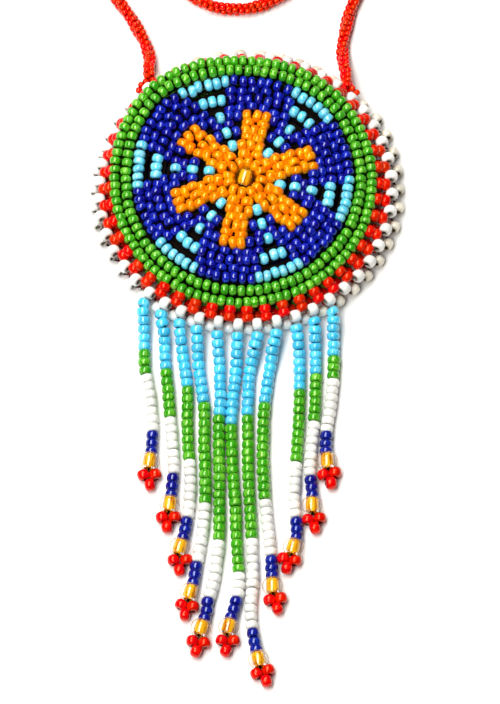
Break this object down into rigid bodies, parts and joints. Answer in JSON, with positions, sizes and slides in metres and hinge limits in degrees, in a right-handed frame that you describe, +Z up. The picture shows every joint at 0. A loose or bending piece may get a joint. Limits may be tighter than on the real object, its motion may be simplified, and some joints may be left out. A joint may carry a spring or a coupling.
{
  "type": "beaded medicine bag",
  "caption": "Small round pouch of netted glass seed beads with a domed rosette front, open mouth, beaded neck strap and a beaded fringe.",
  "frame": {"origin": "middle of the back panel's resting face, on the surface that the bag lies on", "axes": "+Z up through the front rosette, +Y to the mouth and the strap, -Y to the fringe, +X to the right as the rosette is looked at"},
  "size_m": [0.0583, 0.1742, 0.0104],
  "materials": {
    "glass_red": "glossy opaque glass seed beads",
    "glass_orange": "glossy opaque glass seed beads",
    "glass_cobalt": "glossy opaque glass seed beads",
    "glass_sky": "glossy opaque glass seed beads",
    "glass_green": "glossy opaque glass seed beads",
    "glass_white": "glossy opaque glass seed beads",
    "glass_navy": "glossy opaque glass seed beads",
    "crystal": "clear glass with an amber lining",
    "thread": "waxed dark beading thread"
  },
  "bodies": {
    "root": {"centre_crystal": "crystal", "star": "glass_orange", "cobalt_petal_1": "glass_cobalt", "sky_fan_1": "glass_sky", "cobalt_petal_2": "glass_cobalt", "sky_fan_2": "glass_sky", "cobalt_petal_3": "glass_cobalt", "sky_fan_3": "glass_sky", "cobalt_petal_4": "glass_cobalt", "sky_fan_4": "glass_sky", "cobalt_petal_5": "glass_cobalt", "sky_fan_5": "glass_sky", "cobalt_petal_6": "glass_cobalt", "sky_fan_6": "glass_sky", "green_row_inner": "glass_green", "green_row_outer": "glass_green", "front_red_edging": "glass_red", "back_centre": "glass_orange", "back_field": "glass_cobalt", "back_green_rows": "glass_green", "back_red_edging": "glass_red", "rim_seam": "glass_white", "front_lip": "glass_white", "back_lip": "glass_white", "strap_left_run": "glass_red", "strap_right_run": "glass_red", "strap_coil": "glass_red", "fringe_strand_01": "glass_sky", "fringe_crystal_01": "crystal", "fringe_picot_01": "glass_red", "fringe_strand_02": "glass_sky", "fringe_crystal_02": "crystal", "fringe_picot_02": "glass_red", "fringe_strand_03": "glass_sky", "fringe_crystal_03": "crystal", "fringe_picot_03": "glass_red", "fringe_strand_04": "glass_sky", "fringe_crystal_04": "crystal", "fringe_picot_04": "glass_red", "fringe_strand_05": "glass_sky", "fringe_crystal_05": "crystal", "fringe_picot_05": "glass_red", "fringe_strand_06": "glass_sky", "fringe_crystal_06": "crystal", "fringe_picot_06": "glass_red", "fringe_strand_07": "glass_sky", "fringe_crystal_07": "crystal", "fringe_picot_07": "glass_red", "fringe_strand_08": "glass_sky", "fringe_crystal_08": "crystal", "fringe_picot_08": "glass_red", "fringe_strand_09": "glass_sky", "fringe_crystal_09": "crystal", "fringe_picot_09": "glass_red", "fringe_strand_10": "glass_sky", "fringe_crystal_10": "crystal", "fringe_picot_10": "glass_red", "fringe_strand_11": "glass_sky", "fringe_crystal_11": "crystal", "fringe_picot_11": "glass_red"}
  },
  "joints": []
}
